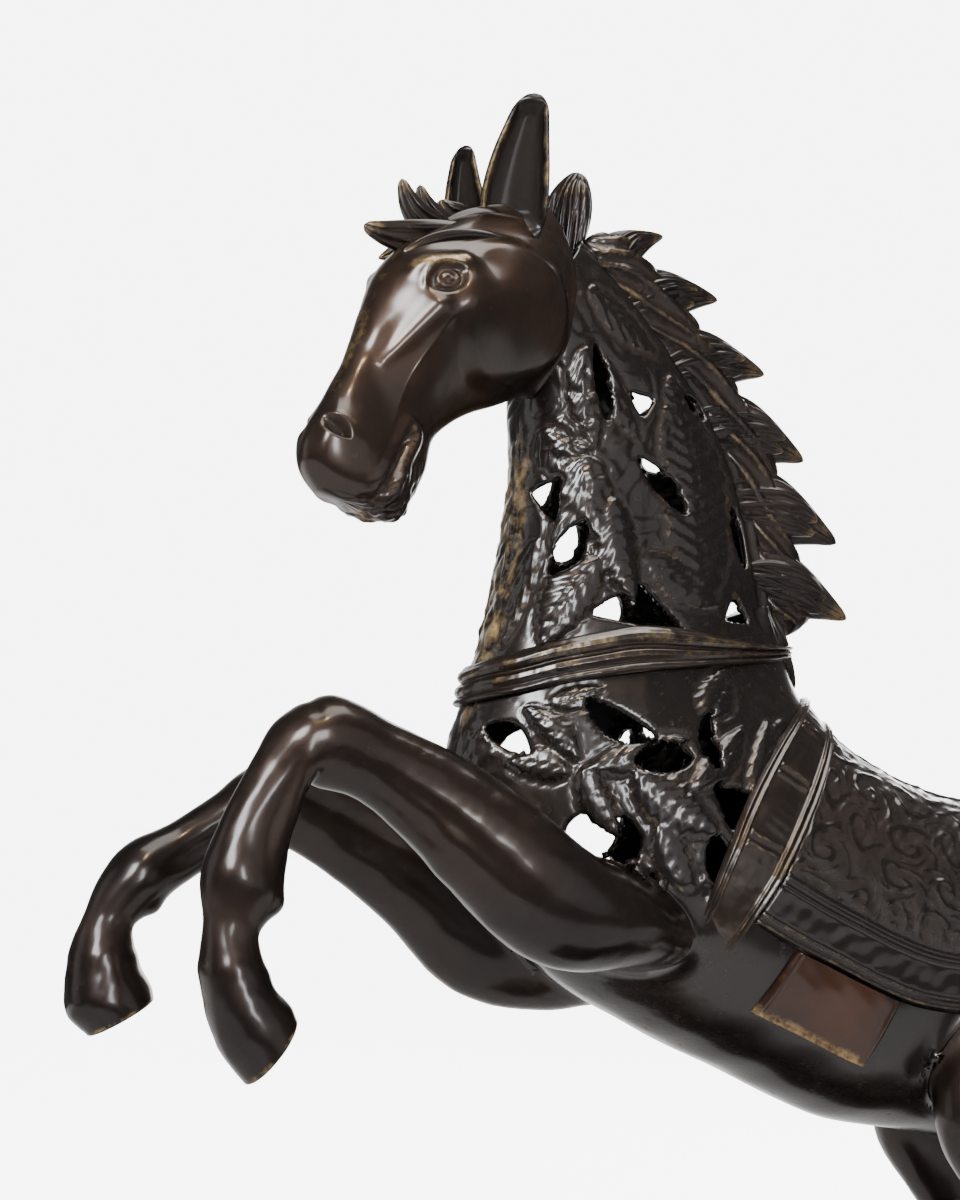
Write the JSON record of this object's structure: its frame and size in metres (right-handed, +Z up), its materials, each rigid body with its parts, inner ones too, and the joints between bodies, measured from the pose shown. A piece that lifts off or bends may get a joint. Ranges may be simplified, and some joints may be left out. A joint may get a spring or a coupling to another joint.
{
  "type": "bronze horse statuette",
  "caption": "Cast bronze statuette of a rearing horse with pierced leaf work on neck and chest, an upright flame mane and a saddle blanket, standing on a low plinth",
  "frame": {"origin": "middle of the underside of the felt below the plinth", "axes": "the horse faces -X, its left side faces -Y, +Z is up"},
  "size_m": [0.5157, 0.15, 0.568],
  "materials": {
    "dark_bronze": "cast bronze with a dark brown waxed patina",
    "rubbed_bronze": "cast bronze, brown patina rubbed golden on its edges",
    "raw_bronze": "machined bronze without patina",
    "steel": "plain turned steel",
    "felt": "dark green felt"
  },
  "bodies": {
    "root": {"barrel_casting": "dark_bronze", "barrel_joint_pin_1": "rubbed_bronze", "barrel_joint_pin_2": "rubbed_bronze", "barrel_joint_pin_3": "rubbed_bronze", "barrel_joint_sleeve": "raw_bronze", "chest_casting": "dark_bronze", "croup_casting": "dark_bronze", "croup_joint_pin_1": "rubbed_bronze", "croup_joint_pin_2": "rubbed_bronze", "croup_joint_pin_3": "rubbed_bronze", "croup_joint_sleeve": "raw_bronze", "forelock": "dark_bronze", "girth_band": "rubbed_bronze", "head_casting": "dark_bronze", "head_cross_pin": "rubbed_bronze", "left_ear": "dark_bronze", "left_flap": "rubbed_bronze", "left_foreleg": "dark_bronze", "left_foreleg_nut": "steel", "left_foreleg_stud": "steel", "left_hind_hoof_nut": "steel", "left_hind_hoof_stud": "steel", "left_hind_hoof_washer": "steel", "left_hind_leg": "dark_bronze", "left_hind_leg_nut": "steel", "left_hind_leg_stud": "steel", "mane_crest": "dark_bronze", "neck_casting": "dark_bronze", "neck_collar": "rubbed_bronze", "neck_joint_pin_1": "rubbed_bronze", "neck_joint_pin_2": "rubbed_bronze", "neck_joint_pin_3": "rubbed_bronze", "neck_joint_sleeve": "raw_bronze", "plinth": "dark_bronze", "plinth_felt": "felt", "right_ear": "dark_bronze", "right_flap": "rubbed_bronze", "right_foreleg": "dark_bronze", "right_foreleg_nut": "steel", "right_foreleg_stud": "steel", "right_hind_hoof_nut": "steel", "right_hind_hoof_stud": "steel", "right_hind_hoof_washer": "steel", "right_hind_leg": "dark_bronze", "right_hind_leg_nut": "steel", "right_hind_leg_stud": "steel", "saddle_blanket": "dark_bronze", "tail": "dark_bronze", "tail_nut": "steel", "tail_stud": "steel"}
  },
  "joints": []
}
